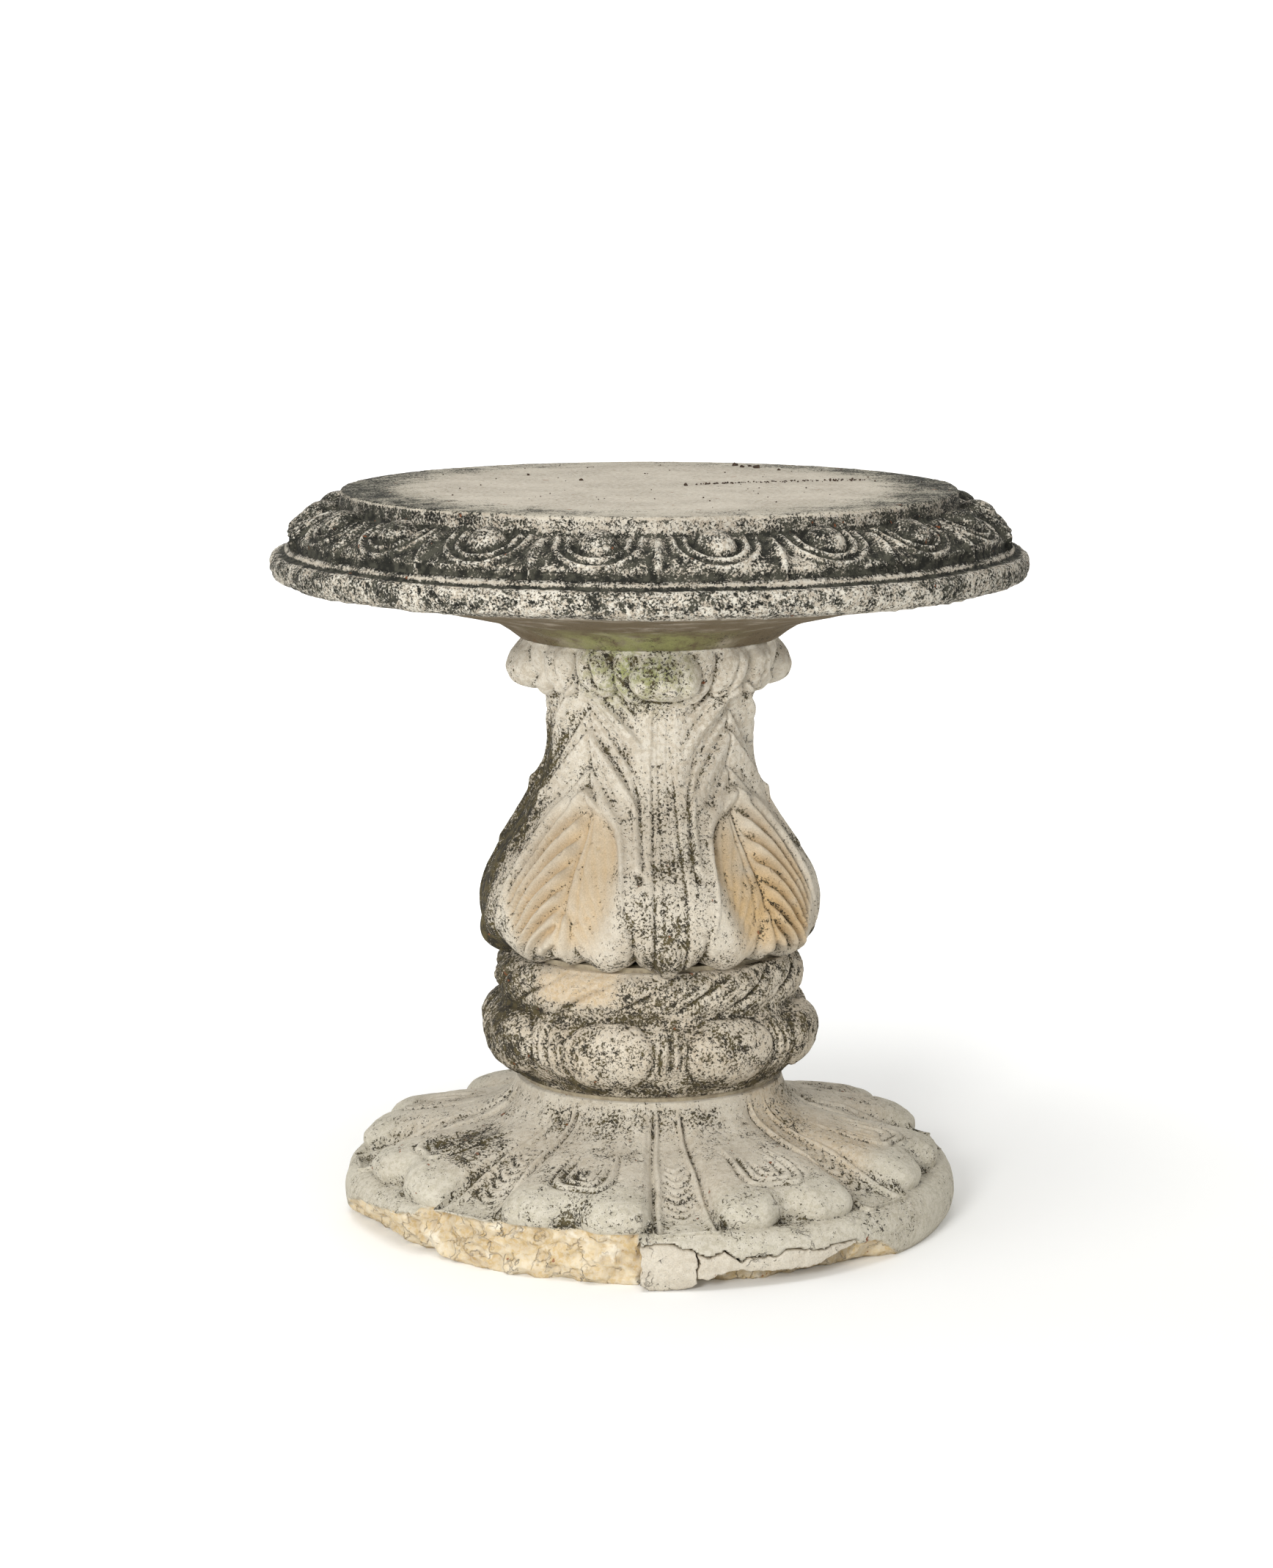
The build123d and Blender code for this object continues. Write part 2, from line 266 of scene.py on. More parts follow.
def grid_faces(rows, columns):
    """Quads over a grid whose rows go down and whose columns go round."""
    first = (np.arange(rows - 1)[:, None] * columns + np.arange(columns - 1)[None, :]).ravel()
    return np.column_stack([first, first + columns, first + columns + 1, first + 1]).tolist()


def casting(name, profile, bays, across, relief, mask, turn, worn, stone, datum=DATUM):
    """A casting from one bay: its profile, its relief, and how it is worn.

    relief(angle, radius, level, run number, place in the run) gives the height over the profile in
    millimetres, each point's new radius and level, and any layers to keep. mask(run number, place)
    says how much wear reaches each point."""
    rows, part, place = profile
    half = 180 / bays
    columns = across + 1
    a = np.repeat(np.linspace(-half, half, columns)[None], len(rows), 0)
    r0, z0, p0, t0 = (np.repeat(row[:, None], columns, 1) for row in (rows[:, 0], rows[:, 1], part, place))
    normal = outward(rows)
    height, r, z, layers = relief(a, r0, z0, p0, t0)
    r = np.maximum(r + height * normal[:, :1], 0)
    z = z + height * normal[:, 1:]
    theta = np.radians(a)
    points = np.stack([r * np.sin(theta), -r * np.cos(theta), z + datum], -1).reshape(-1, 3)
    layers = {**layers, "wear": mask(p0, t0), "relief": height}
    flat = {key: value.ravel() for key, value in layers.items()}
    source = mesh_object(name + "_bay", points, grid_faces(len(rows), columns), flat)
    modifier = source.modifiers.new("casting", "NODES")
    modifier.node_group = TREE
    set_inputs(modifier, {"Bays": bays, "Turn": math.radians(turn), "Stone": stone, **worn})
    made = baked(source, name)
    made.data.shade_smooth()
    return made


def values(obj, layer):
    """A per-point layer of a mesh as an array."""
    found = np.zeros(len(obj.data.vertices), np.float32)
    obj.data.attributes[layer].data.foreach_get("value", found)
    return found


def places(obj):
    """Points of a mesh in millimetres, with their radius and angle from the front in degrees."""
    co = np.zeros(len(obj.data.vertices) * 3)
    obj.data.vertices.foreach_get("co", co)
    co = co.reshape(-1, 3) / MM
    return co, np.hypot(co[:, 0], co[:, 1]), np.degrees(np.arctan2(co[:, 0], -co[:, 1]))


def normals(obj):
    """Unit normals at a mesh's points."""
    found = np.zeros(len(obj.data.vertices) * 3)
    obj.data.vertices.foreach_get("normal", found)
    return found.reshape(-1, 3)


def move_points(obj, co):
    """Puts a mesh's points at new places in millimetres."""
    obj.data.vertices.foreach_set("co", (co * MM).ravel())
    obj.data.update()


def paint(obj, **layers):
    """Stores per-point values that the stone's material reads."""
    for layer, amount in layers.items():
        old = obj.data.attributes.get(layer)
        if old:
            obj.data.attributes.remove(old)
        spread = np.clip(np.broadcast_to(amount, len(obj.data.vertices)), 0, 1)
        obj.data.attributes.new(layer, "FLOAT", "POINT").data.foreach_set("value", spread.astype(np.float32))


# Used below to paint shade into recesses, through the lichen and warm stain layers.
def hollows(obj, passes=6):
    """How far each point lies below its neighbours' average after some smoothing, in millimetres."""
    co, _, _ = places(obj)
    edges = np.zeros(len(obj.data.edges) * 2, int)
    obj.data.edges.foreach_get("vertices", edges)
    a, b = edges.reshape(-1, 2).T
    count = np.bincount(a, minlength=len(co)) + np.bincount(b, minlength=len(co))
    average = co.copy()
    for _ in range(passes):
        total = np.zeros_like(average)
        np.add.at(total, a, average[b])
        np.add.at(total, b, average[a])
        average = total / np.maximum(count, 1)[:, None]
    return ((average - co) * normals(obj)).sum(1)


# ---- basin ----


def basin_profile():
    """Top, step, egg-and-dart moulding, gutter, lip, underside and seat, from the top's middle down."""
    fascia = TOP_Z - STEP_H
    return joined([
        ([(0, TOP_Z), (205, TOP_Z)], 8),
        ([(205, TOP_Z), (TOP_R - 3, TOP_Z)], 9),
        ([(TOP_R - 3, TOP_Z), (TOP_R - 0.6, TOP_Z - 0.8), (TOP_R, TOP_Z - 3)], 4),
        ([(TOP_R, TOP_Z - 3), (TOP_R + 1, fascia + 1)], 8),
        ([(TOP_R + 1, fascia + 1), (262, 573), (279, 566), (291, 557), (297, 545)], 40),
        ([(297, 545), (295, 542), (297, GUTTER_Z), (303, GUTTER_Z)], 6),
        ([(303, GUTTER_Z), (LIP_R - 4, 537.5), (LIP_R - 3, 531), (LIP_R - 6, 522), (295, 518)], 15),
        ([(295, 518), (217, 505), (167, 494), (128, 484), (107, SEAT_Z)], 18),
        ([(107, SEAT_Z), (SLEEVE_R, SEAT_Z)], 4),
        ([(SLEEVE_R, SEAT_Z), (SLEEVE_R, BASIN_SOCKET_TOP)], 2),
        ([(SLEEVE_R, BASIN_SOCKET_TOP), (0, BASIN_SOCKET_TOP)], 2),
    ])


def egg_and_dart(a, r, z, part, place):
    """An egg in two open shells, with half a dart at each side of the bay."""
    on = (part == 4).astype(float)
    x = np.radians(a) * MOULDING_R
    down = place * MOULDING_RUN
    from_middle = down - 18
    below = np.maximum(from_middle, 0)
    above = np.maximum(-from_middle, 0)
    egg = dome((x / 16.5) ** 2 + (from_middle / 18.5) ** 2) ** 1.1 * 11

    def shell(wide, deep, thick):
        reach = np.hypot(x / (wide + 0.12 * above), below / deep)
        return bump(reach, 1, thick / wide)

    ends = smooth(down, 1, 7)
    shells = 3.6 * shell(24, 22.5, 4.0) * ends + 3.2 * shell(33.5, 30.5, 4.4) * ends
    bed = -2.2 * (1 - smooth(np.hypot(x / 24, from_middle / 23), 0.75, 1.0))
    bed *= 1 - dome((x / 17) ** 2 + (from_middle / 19) ** 2)
    # The dart is a ridged leaf, widest half way down and pointed at the gutter.
    side = MOULDING_R * np.radians(9.47) - np.abs(x)
    half = np.interp(down, [0, 12, 34, 58], [3.0, 6.5, 9.5, 0.3])
    leaf = np.clip(1 - side / half, 0, 1)
    dart = 5.5 * leaf ** 1.3 * band(down, 4, 20, 59, 61)
    recess = -3.2 * smooth(down, 49, 56)
    ripple = 0.24 * np.sin(x * 0.9 + down * 0.35) * smooth(side, 6, 10) * smooth(down, 20, 30)
    height = on * (egg + shells + bed + dart + recess + ripple - 1.5)
    return height, r, z, {}


def basin_mask(part, place):
    """Wear reaches the moulding and lip most, the top a little and the seat not at all."""
    return np.array([0.12, 0.2, 0.8, 0.6, 0.75, 1.0, 1.7, 0.35, 0, 0, 0])[part]


# ---- shaft ----

SHAFT_SIDE = [
    (105, 470), (97, 458), (91, 444), (87.5, 430), (84.5, 417), (83, 398), (85, 379), (88, 364), (92, 350),
    (99, 336), (108, 321), (118, 307), (128, 292), (135.5, 278), (140, 263), (141, 249), (139, 236), (133, 225),
    (124, 218), (115, 215),
]


def shaft_profile():
    return joined([
        ([(SLEEVE_R, GROUT_TOP), (SLEEVE_R, SHAFT_TOP)], 2),
        ([(SLEEVE_R, SHAFT_TOP), SHAFT_SIDE[0]], 4),
        (SHAFT_SIDE, 156),
        ([SHAFT_SIDE[-1], (BORE_R, SHAFT_Z)], 4),
        ([(BORE_R, SHAFT_Z), (BORE_R, GROUT_TOP)], 3),
        ([(BORE_R, GROUT_TOP), (SLEEVE_R, GROUT_TOP)], 2),
    ])


def acanthus(a, r, z, part, place):
    """Half the shaft: a big leaf each side of the plain front channel, mirrored about it."""
    on = (part == 2).astype(float)
    # The leaves stand closer to the channel at the bulb than at the neck.
    middle = 39.0 + 4.0 * smooth(z, 320, 400)
    b = np.abs(a)
    # q runs across one leaf in degrees: positive on its far half, away from the channel.
    q = np.where(b < middle, b * 45 / middle, 45 + (b - middle) * 45 / (90 - middle)) - 45
    far = smooth(q, -3, 3)
    x = np.radians(q) * r
    off = np.abs(x)
    gap = 45 - np.abs(q)          # from the nearest channel's middle
    # The leaf is hollowed under a round arch, and fluted from its midrib outwards and down.
    out = off * (0.90 + 0.10 * far)
    arch = z + 0.22 * out + 10.0 * (out / 30) ** 3
    edge = 344.0
    limit = 57 - 13 * smooth(-z, -275, -226)
    inside = smooth(edge - arch, 0, 6) * smooth(z, 217, 234) * smooth(limit - out, 0, 24 - 15 * far)
    deep = np.interp(z, [225, 250, 300, 344], [2.5, 10.5, 10.5, 7.5])
    flute = z + 0.80 * off + 9.0 * (off / 28) ** 2.5
    flutes = 10.0 * fold(edge - flute, 18.0, 0.22) * smooth(off, 1, 8) * (0.08 + 0.92 * far)
    crease = 1.3 * bump(off - (334 - z) * 0.16, 4, 3.5) * (1 - far) * smooth(z, 245, 262)
    leaf = inside * (flutes - deep - crease)
    midrib = -2.4 * bump(off, 0, 3.0) * inside * smooth(z, 236, 252)
    rim = 2.6 * bump(arch, edge + 5, 8) * smooth(z, 228, 245)
    # A small curled leaflet stands in the fork of the big leaf.
    bud = dome(((x + 2) / 8) ** 2 + ((z - 243) / 19) ** 2) * 6.5 - 2.0 * bump(x, 9, 4) * bump(z, 243, 22)
    # Rounded lobes along the bottom, with grooves that run up between them.
    lobes = np.zeros_like(z)
    for groove, top in ((6.0, 250), (30.0, 262)):
        lobes -= 4.0 * bump(np.abs(q), groove, 2.6) * (1 - smooth(z, top - 34, top))
    scallop = 3.5 * np.cos(np.radians(np.abs(q) - 18) * 15) * (1 - smooth(z, 217, 240))
    # The leaf's near edge comes down beside the channel and ends in a drip with a hole under it.
    lean = gap - np.interp(z, [280, 300, 350, 380], [11.6, 12.0, 15.0, 22.0])
    drip = 2.8 * bump(lean, 1.6, 2.6) * band(z, 294, 300, 352, 372)
    drip -= 1.6 * bump(lean, -1.0, 1.5) * band(z, 290, 300, 372, 384)
    drip -= 6.0 * dome((np.radians(lean - 0.6) * r / 3.4) ** 2 + ((z - 291) / 4.2) ** 2)
    # Tiers of pointed leaflets climb the neck and meet at the midrib.
    climb = z + off * 1.15
    neck = band(z, 334, 346, 436, 454)
    reach = 1 - smooth(np.abs(q), 26, 36)
    tier = 45.0
    tiers = neck * (7.0 * fold(climb - 358, tier, 0.09) + 4.0 * fold(climb - 373, tier, 0.08) - 5.6) * reach
    spine = -2.4 * bump(off, 0, 2.6) * neck
    vein = -1.1 * bump(np.mod(climb - 358, tier), 24, 4) * smooth(off, 6, 16) * neck * reach
    # Channel with a sunk line each side and two faint lines in its floor.
    floor = band(z, 222, 240, 405, 432)
    channel = -2.2 * (1 - smooth(gap, 5.0, 6.6)) * floor
    channel -= 3.0 * bump(gap, 6.4, 1.2) * (1 - smooth(z, 350, 400))
    channel -= 0.9 * bump(gap, 2.6, 0.9) * floor
    tongue = 5.0 * dome((gap / 3.6) ** 2) * (1 - smooth(z, 222, 246))
    # Scrolls over the channels and curled leaf tips between them carry the basin.
    side = np.radians(gap) * 90
    scroll = dome(np.abs(side / 29) ** 3.0 + np.abs((z - 449) / 19.5) ** 2.6) * 25
    scroll -= 3.0 * bump(side, 10, 6) * smooth(scroll, 8, 20)
    tip = dome((np.abs(off - 16) / 16) ** 2.6 + (np.abs(z - 450) / 21) ** 2.6) * 14
    tip *= 1 - 0.25 * bump(off, 16, 4)
    curl = dome(((off - 44) / 14) ** 2 + ((z - 447) / 22) ** 2) * 9
    tail = dome(((off - 17 + (z - 430) * 0.5) / 7) ** 2 + ((z - 428) / 26) ** 2) * 4
    height = leaf + midrib + rim + np.maximum(bud, 0) * (z < 262) + lobes + scallop
    height = height + drip + tiers + spine + vein + channel + tongue
    top = np.maximum(np.maximum(scroll, tip), np.maximum(curl, tail))
    height = on * (height + top * smooth(470 - z, 0, 4))
    stain = smooth(edge - arch, -6, 16) * smooth(limit + 5 - out, 0, 32 - 16 * far) * smooth(z, 216, 244)
    return height, r, z, {"hollow": on * stain, "gap": gap / 45}


def shaft_mask(part, place):
    return np.where(part == 2, band(place, 0, 0.02, 0.985, 1.0), 0.0)


# ---- collar ----

COLLAR_SIDE = [
    (115, 211), (120, 208), (124.5, 201), (126.5, 193), (126, 185), (123.5, 178), (121.5, 173.5), (124, 169),
    (130, 164), (135, 157), (137, 148), (135.5, 139), (131, 131), (124, 123), (115, 114), (109, 108),
]


def collar_profile():
    return joined([
        ([(BORE_R, COLLAR_TOP), COLLAR_SIDE[0]], 4),
        (COLLAR_SIDE, 86),
        ([COLLAR_SIDE[-1], (BORE_R, COLLAR_Z)], 4),
        ([(BORE_R, COLLAR_Z), (BORE_R, COLLAR_TOP)], 3),
    ])


def rings(a, r, z, part, place):
    """One gadroon with half a pair of fillets each side, and the twist that climbs over it."""
    on = (part == 1).astype(float)
    x = np.radians(a) * RING_R
    # Lower ring.
    low = 1 - smooth(z, 168, 174)
    gadroon = dome((np.abs(x) / 37) ** 2.8 + (np.abs(z - 146) / 26) ** 2.4) * 8 * low
    side = 50.3 - np.abs(x)
    fillets = (3.6 * bump(side, 4.6, 3.6) + 2.2 * bump(side, 11.0, 3.0)) * bump(z, 147, 27)
    lower = gadroon + fillets - 3.2 * bump(z, 147, 30)
    # Upper ring: strands lean to the right as they rise, each with fine lines along it.
    around = a - (z - 190) * 0.78
    turn = np.mod(around / 22.5 + 0.5, 1.0) - 0.5
    strand = dome((turn / 0.5) ** 2) ** 0.8
    lines = np.mod(around / 7.5, 1.0)
    upper = (6.5 * strand - 4.5 - 1.1 * bump(lines, 0.5, 0.28)) * bump(z, 192, 24)
    height = on * (lower * low + upper * (1 - low))
    return height, r, z, {}


def collar_mask(part, place):
    return np.where(part == 1, band(place, 0, 0.03, 0.97, 1.0), 0.0)


# ---- foot ----

FLARE = [
    (110, 114), (111.5, 107), (115, 99.5), (121, 92.5), (131, 86.5), (146, 81.5), (166, 77.5), (188, 73.5),
    (208, 69), (222, 64.5), (230, 60.5),
]
PLINTH_EDGE = [
    (PETAL_R - 2, PLINTH_H + 0.5), (242, PLINTH_H - 1), (248, 37), (PLINTH_R - 0.9, 29), (PLINTH_R, 19),
    (PLINTH_R - 1.5, 9), (PLINTH_R - 6, 0),
]


def foot_profile():
    return joined([
        ([(BORE_R, FOOT_TOP), FLARE[0]], 4),
        (FLARE, 84),
        ([FLARE[-1], (PETAL_R - 0.8, 55), (PETAL_R, 49.5), (PETAL_R - 1, 45), PLINTH_EDGE[0]], 11),
        (PLINTH_EDGE, 34),
        ([PLINTH_EDGE[-1], (BORE_R, 0)], 4),
        ([(BORE_R, 0), (BORE_R, FOOT_TOP)], 3),
    ])


def petal(a, r, z, part, place):
    """One petal with half a ribbed channel each side, and its stretch of plinth."""
    flare = ((part == 1) | (part == 2)).astype(float)
    b = 22.5 - np.abs(a)
    t = np.clip((r - NECK_R) / (PETAL_R - NECK_R), 0, 1)
    wide = 5.4 + 1.0 * t
    # Petal ends: two round lobes with a deep notch between them, and then the channel's fan.
    lobed = 240 - 14 * bump(a + 0.8, 0, 6.6) - 15 * np.clip((np.abs(a) - 10) / 6.2, 0, 1) ** 2.4
    fan = 244 + 2.5 * bump(b, wide - 1, 2)
    in_channel = 1 - smooth(b, wide - 0.2, wide + 0.9)
    end = lobed + (fan - lobed) * in_channel
    r_new = np.where(flare > 0, NECK_R + (r - NECK_R) * (end - NECK_R) / (PETAL_R - NECK_R), r)
    edge = np.maximum(end - 2, r)
    r_new = np.where((part == 3) & (place < 0.4), edge + (r - edge) * smooth(place, 0, 0.4), r_new)
    # The channel runs down on to the plinth, between two fillets, with a dark line outside them.
    ramp = in_channel * flare * smooth(t, 0.35, 1.0)
    z_new = z - ramp * (z - PLINTH_H - 1.5) * 0.86
    q = np.clip((b - wide) / (22.5 - wide), 0, 1)
    rounding = 1 - (1 - np.clip(q * 2.4, 0, 1)) ** 2.5
    pillow = (2.5 + 4.5 * t) * (rounding - 1) + 2.5 * q * t * (1 - smooth(t, 0.9, 1.0))
    fillets = (2.8 + 1.4 * t) * bump(b, wide - 1.0, 1.15) - 2.4 * bump(b, wide + 0.45, 0.8)
    scallops = 1.7 * bump(np.mod((r + 0.5 * (b * 3.4) ** 2 * 0.12) / 7.5, 1), 0.5, 0.42)
    scallops *= band(r, 146, 160, 208, 218) * (1 - smooth(b, 2.4, 3.6))
    # Nested loops cut into the petal, open towards the neck.
    x = np.radians(a) * r
    bend = 194
    down = np.maximum(r - bend, 0)
    up = np.maximum(bend - r, 0)
    reach = np.hypot(x / (25 - 8 * smooth(up, 0, 60)), down / 23)
    loops = np.zeros_like(r)
    for size in (1.0, 0.66, 0.34):
        shown = smooth(r, bend - 60 * size, bend - 25 * size)
        loops += (bump(reach, size, 0.10) - 0.8 * bump(reach, size - 0.15, 0.10)) * shown
    height = pillow + fillets * np.where(part == 2, 1 - 0.7 * place, 1) - 1.9 * loops - scallops
    height = height * smooth(r, NECK_R, NECK_R + 7)
    height = np.where(part == 2, height * (1 - place), height)
    return height * flare, r_new, z_new, {"rim": np.where(part == 3, place, np.where(part < 3, -1, 2))}


def foot_mask(part, place):
    neck = np.where(part == 1, smooth(place, 0, 0.04), 0)
    edge = np.where(part == 3, 1 - smooth(place, 0.9, 1.0), 0)
    return neck + np.where(part == 2, 1.0, 0) + edge


# ---- stone, mortar and metal ----


def colour(code):
    """Linear colour from an sRGB hex code."""
    parts = [int(code[i:i + 2], 16) / 255 for i in (1, 3, 5)]
    return [p / 12.92 if p <= 0.04045 else ((p + 0.055) / 1.055) ** 2.4 for p in parts] + [1.0]


def new_material(name):
    """An empty material, its node tree and its Object coordinates."""
    made = bpy.data.materials.new(name)
    made.use_nodes = True
    tree = made.node_tree
    tree.nodes.clear()
    return made, tree, add(tree, "ShaderNodeTexCoord").outputs["Object"]


def surface(tree, links):
    """Ends a material's tree in a Principled shader with these inputs."""
    shader = add(tree, "ShaderNodeBsdfPrincipled", links)
    add(tree, "ShaderNodeOutputMaterial", {"Surface": shader.outputs[0]})


def cast_stone(name, pale, deep, stain, lichen, moss, crust, speck=0.0020, bite=0.0007):
    """Cast stone weathered outdoors: sand and cement, stains, crisp lichen specks that also carry painted shade in
    recesses, and rain-washed points.

    speck is the width of a lichen speck and bite the depth of the sand texture, in metres."""
    made, tree, here = new_material(name)

    def noise(size, detail=3.0, rough=0.6):
        return add(tree, "ShaderNodeTexNoise", {"Vector": here, "Scale": 1 / size, "Detail": detail,
                                                "Roughness": rough}).outputs[0]

    def layer(word):
        return add(tree, "ShaderNodeAttribute", attribute_name=word).outputs["Fac"]

    def ease(value, low, high):
        return add(tree, "ShaderNodeMapRange", {"Value": value, "From Min": low, "From Max": high},
                   interpolation_type="SMOOTHSTEP").outputs[0]

    def times(a, b, plus=0.0):
        return add(tree, "ShaderNodeMath", {0: a, 1: b, 2: plus}, operation="MULTIPLY_ADD").outputs[0]

    def mixed(amount, under, over, blend="MIX"):
        links = {0: amount, 6: under, 7: over}
        return add(tree, "ShaderNodeMix", links, data_type="RGBA", blend_type=blend).outputs[2]

    # Sand and cement: two close tones in hand-sized clouds, with grains over them.
    clouds = ease(noise(0.055, 4), 0.36, 0.64)
    base = mixed(clouds, colour(pale), colour(deep))
    base = mixed(times(layer("warm"), ease(noise(0.035, 3), 0.1, 0.55)), base, colour(stain))
    base = mixed(times(layer("green"), ease(noise(0.012, 4), 0.30, 0.62)), base, colour("#94975f"))
    base = mixed(times(layer("tint"), 0.75), base, colour("#a3a492"))
    grain = add(tree, "ShaderNodeMapRange", {
        "Value": noise(0.0012, 2, 0.7), "From Min": 0.3, "From Max": 0.7, "To Min": 0.84, "To Max": 1.12,
    })
    base = mixed(1.0, base, grain.outputs[0], "MULTIPLY")
    # The broken core is yellow sand and crushed stone, flaked and finely cracked.
    core = mixed(ease(noise(0.018, 5, 0.6), 0.35, 0.62), colour("#d8c8a8"), colour("#c6ae82"))
    core = mixed(ease(noise(0.016, 5), 0.54, 0.72), core, colour("#b1966a"))
    core = mixed(ease(noise(0.022, 4), 0.56, 0.68), core, colour("#e6dbc4"))
    swirl = add(tree, "ShaderNodeTexNoise", {"Vector": here, "Scale": 1 / 0.010, "Detail": 3.0})
    shift = add(tree, "ShaderNodeVectorMath", {0: swirl.outputs["Color"], "Scale": 0.022}, operation="SCALE")
    bent = add(tree, "ShaderNodeVectorMath", {0: here, 1: shift.outputs[0]}, operation="ADD").outputs[0]

    def cracks(size, width):
        cells = add(tree, "ShaderNodeTexVoronoi", {"Vector": bent, "Scale": 1 / size}, feature="DISTANCE_TO_EDGE")
        links = {"Value": cells.outputs["Distance"], "From Max": width / size, "To Min": 1.0, "To Max": 0.0}
        return add(tree, "ShaderNodeMapRange", links).outputs[0]

    splits = times(cracks(0.024, 0.0012), ease(noise(0.02, 2), 0.40, 0.55))
    core = mixed(times(splits, 0.45), core, colour("#5b4023"))
    base = mixed(layer("core"), base, core)
    hair = times(times(cracks(0.052, 0.0008), layer("crack")), ease(noise(0.03, 2), 0.50, 0.58))
    base = mixed(times(hair, 0.85), base, colour("#3d3325"))
    # Rain keeps raised points clean, so they go chalky white.
    chalk = times(layer("chalk"), ease(noise(0.004, 3, 0.7), 0.42, 0.56))
    base = mixed(chalk, base, colour(crust))
    # Lichen grows as crisp dark specks that close up where the layer says it is thick. The layer also holds
    # painted shade in recesses, drawn as the same specks.
    patches = times(noise(0.030, 4, 0.62), 1.1, times(noise(0.009, 3, 0.6), 0.6, -0.85))
    thick = times(layer("lichen"), 1.0, patches)
    level = times(thick, -0.36, 0.68)
    fleck = noise(speck, 5, 0.75)
    over = times(fleck, 1.0, times(level, -1.0))
    spots = times(ease(over, 0.0, 0.030), ease(layer("lichen"), 0.0, 0.06))
    dark = mixed(ease(noise(0.007, 3), 0.4, 0.62), colour(lichen), colour(moss))
    base = mixed(spots, base, dark)
    # Rust marks and soil in a few small dots.
    rust = ease(noise(0.009, 2, 0.5), 0.735, 0.76)
    base = mixed(times(rust, 0.8), base, colour("#8a5233"))

    # Sand texture, bug holes from the mould, and the slight thickness of the lichen.
    holes = ease(noise(0.0065, 1, 0.5), 0.70, 0.76)
    sand = times(noise(0.0011, 3, 0.75), 0.8, noise(0.0045, 4, 0.7))
    rough_core = times(layer("core"), times(noise(0.020, 5, 0.7), 2.0, times(splits, -1.6)))
    height = times(holes, -1.6, times(sand, 1.0, times(spots, 0.5, times(hair, -1.5, rough_core))))
    bump_node = add(tree, "ShaderNodeBump", {"Height": height, "Strength": 0.85, "Distance": bite})
    surface(tree, {"Base Color": base, "Normal": bump_node.outputs[0], "Roughness": 0.93,
                   "Specular IOR Level": 0.25})
    return made


# Sandy cast stone, warm buff-grey and dead matt. Up close it gives the eye sand grain and bug holes, and
# further off cloudy tones, ochre stains in the hollows, chalky raised points and dark brown lichen specks.
# The stains and specks also carry painted shade in the recesses.
STONE = cast_stone("cast_stone_lichened", "#cfc6b5", "#beb3a1", "#c7a97c", "#37332a", "#5a5138", "#dcd6c9")
# The same stone under a black crust, as on a slab that stays wet: cooler and greyer, with finer, denser
# black specks that close up in the carving, partly as painted shade there, and leave its high points pale,
# and a brown underside painted dark taupe as shade under the overhang.
BASIN_STONE = cast_stone("cast_stone_black_crusted", "#beb4a3", "#a99e8d", "#62543c", "#22221d", "#45443a",
                         "#d2cdc0", speck=0.0018)


def plain_material(name, low, high, size, roughness, metallic=0.0, bite=0.0003, spots=None):
    """Two tones in a mottle of the given size in metres, with fine grain in the surface."""
    made, tree, here = new_material(name)
    mottle = add(tree, "ShaderNodeTexNoise", {"Vector": here, "Scale": 1 / size, "Detail": 6.0, "Roughness": 0.65})
    ramp = add(tree, "ShaderNodeValToRGB", {"Fac": mottle.outputs[0]})
    stops = ramp.color_ramp.elements
    stops[0].position, stops[0].color = 0.38, colour(low)
    stops[1].position, stops[1].color = 0.62, colour(high)
    if spots:
        stops.new(0.70).color = colour(spots)
    grain = add(tree, "ShaderNodeTexNoise", {"Vector": here, "Scale": 8 / size, "Detail": 4.0})
    bump_node = add(tree, "ShaderNodeBump", {"Height": grain.outputs[0], "Strength": 0.8, "Distance": bite})
    surface(tree, {"Base Color": ramp.outputs[0], "Normal": bump_node.outputs[0], "Roughness": roughness,
                   "Metallic": metallic})
    return made


# Lime and sand mortar, struck flush and left rough: a dull buff with darker damp sand in it.
MORTAR = plain_material("sand_mortar", "#8f836e", "#b5a98f", 0.012, 0.95, bite=0.0008)
# Poured cement grout: flat grey with pale lime bloom.
GROUT = plain_material("poured_cement_grout", "#82807a", "#a19f97", 0.02, 0.9, bite=0.0004)
# Hot-rolled bar rusted in damp stone: dark scale with orange bloom.
RUST = plain_material("rusted_hot_rolled_steel", "#3a2317", "#6e3b20", 0.006, 0.85, 0.15, 0.0004, "#9a5a2c")
# Hot-dip galvanised pipe gone dull: grey zinc spangle with white bloom.
ZINC = plain_material("dull_galvanised_steel", "#7d8183", "#a2a6a7", 0.008, 0.45, 0.9, 0.0001)

for node, material in {
    "foot_bed": MORTAR, "collar_bed": MORTAR, "core_grout": GROUT, "core_rod": RUST, "foot_hoop": RUST,
    "basin_hoop": RUST, "basin_bars": RUST, "dowel_socket": ZINC, "locating_dowel": ZINC, "basin_socket": ZINC,
}.items():
    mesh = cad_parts[node].data
    mesh.materials.clear()
    mesh.materials.append(material)

# ---- make the castings ----

TREE = casting_tree()

basin = casting("basin_stone", basin_profile(), EGGS, 44, egg_and_dart, basin_mask, EGG_TURN,
                {"Wander": 0.003, "Wear depth": 0.0030, "Wear size": 0.009, "Pit depth": 0.0016,
                 "Pit size": 0.006, "Seed": 4.0}, BASIN_STONE)
shaft = casting("shaft_stone", shaft_profile(), LEAVES // 2, 290, acanthus, shaft_mask, 0,
                {"Wander": 0.006, "Wear depth": 0.0015, "Wear size": 0.012, "Pit depth": 0.0012,
                 "Pit size": 0.007, "Seed": 9.0}, STONE)
collar = casting("collar_stone", collar_profile(), PETALS, 62, rings, collar_mask, 22.5,
                 {"Wander": 0.012, "Wear depth": 0.0042, "Wear size": 0.012, "Pit depth": 0.0020,
                  "Pit size": 0.006, "Seed": 15.0}, STONE)
